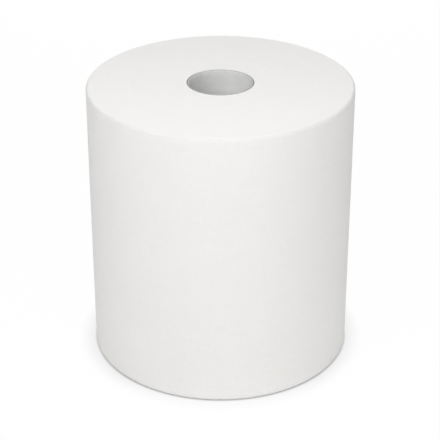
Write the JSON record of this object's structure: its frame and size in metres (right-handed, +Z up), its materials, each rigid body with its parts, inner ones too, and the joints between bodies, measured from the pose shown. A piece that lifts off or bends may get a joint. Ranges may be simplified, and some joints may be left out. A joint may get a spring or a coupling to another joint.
{
  "type": "paper towel roll",
  "caption": "Wide hard-wound roll of white paper towel on a paperboard core tube, standing on one end, with narrowly rounded rims.",
  "frame": {"origin": "centre of the lower end face, on the roll's axis", "axes": "+Z up along the roll's axis; the paper's free end, its tail, lies on the +Y side, 115 degrees round from +X, and the web winds outwards anticlockwise seen from above"},
  "size_m": [0.1883, 0.1885, 0.203],
  "materials": {
    "towel_paper": "soft matt creped paper",
    "core_board": "matt pale grey paperboard"
  },
  "bodies": {
    "root": {"wound_towel": "towel_paper", "core_tube": "core_board"}
  },
  "joints": []
}
